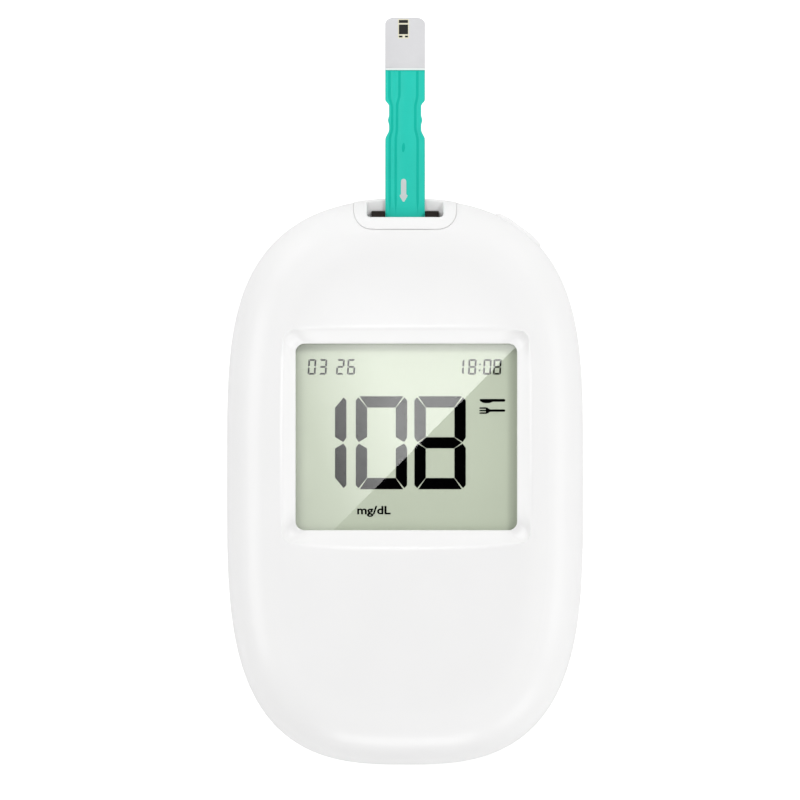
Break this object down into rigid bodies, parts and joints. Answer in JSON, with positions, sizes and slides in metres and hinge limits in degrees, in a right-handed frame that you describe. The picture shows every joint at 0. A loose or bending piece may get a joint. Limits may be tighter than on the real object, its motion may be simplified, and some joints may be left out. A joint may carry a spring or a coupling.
{
  "type": "blood glucose meter",
  "caption": "Hand-held blood glucose meter: oval two-part shell, recessed display, test strip in the port at one end, side key, circuit board, coin cell and battery door.",
  "frame": {"origin": "middle of the flat back, which the meter rests on, below the middle of the case's outline", "axes": "+Z out of the screen, +Y along the case towards the strip port, +X to the right when the screen is read"},
  "size_m": [0.057, 0.1194, 0.0186],
  "materials": {
    "white_shell": "smooth moulded, soft gloss",
    "clear_lens": "clear, polished",
    "foam_black": "fine closed-cell foam",
    "polarizer_film": "satin film",
    "display_glass": "polished",
    "reflector_film": "satin film",
    "frame_plastic": "fine matte",
    "elastomer": "matte",
    "circuit_board": "solder mask, satin",
    "chip_black": "fine matte",
    "can_steel": "satin",
    "chip_tan": "fine matte",
    "connector_black": "fine matte",
    "contact_gold": "plated, satin",
    "cell_steel": "satin",
    "screw_steel": "satin",
    "foam_grey": "fine foam",
    "strip_film": "satin film",
    "strip_teal": "satin film with printed lines",
    "strip_carbon": "printed, matte"
  },
  "bodies": {
    "case": {"front_cover": "white_shell", "rear_cover": "white_shell", "port_surround": "white_shell", "screen_lens": "clear_lens", "lens_gasket": "foam_black", "front_polarizer": "polarizer_film", "display_front_glass": "display_glass", "display_rear_glass": "display_glass", "display_reflector": "reflector_film", "display_frame": "frame_plastic", "elastomer_contact": "elastomer", "main_board": "circuit_board", "microcontroller": "chip_black", "sensor_chip": "chip_black", "clock_crystal": "can_steel", "buzzer": "chip_black", "board_parts": "chip_tan", "key_switch": "can_steel", "strip_connector": "connector_black", "strip_contacts": "contact_gold", "coin_cell": "cell_steel", "minus_contact": "contact_gold", "plus_contact": "contact_gold", "case_screws": "screw_steel", "board_screws": "screw_steel"},
    "side_key": {"side_key": "white_shell", "key_plunger": "chip_black"},
    "test_strip": {"strip_base": "strip_film", "strip_tip": "strip_film", "strip_cover": "strip_teal", "strip_electrodes": "strip_carbon"},
    "battery_door": {"battery_door": "white_shell", "door_latch": "white_shell", "door_pad": "foam_grey"}
  },
  "joints": [
    {"name": "key_press", "type": "slide", "parent": "case", "child": "side_key", "axis": [-0.5865, -0.8099, 0], "range_m": [0, 0.00035], "stiffness_N_per_m": 1500, "springref_m": -0.0007},
    {"name": "strip_pull", "type": "slide", "parent": "case", "child": "test_strip", "axis": [0, 1, 0], "range_m": [0, 0.0095]},
    {"name": "door_swing", "type": "hinge", "parent": "case", "child": "battery_door", "pos_m": [0, -0.0347, 0.00015], "axis": [-1, 0, 0], "range_deg": [0, 35], "deforming": ["door_latch"]}
  ]
}
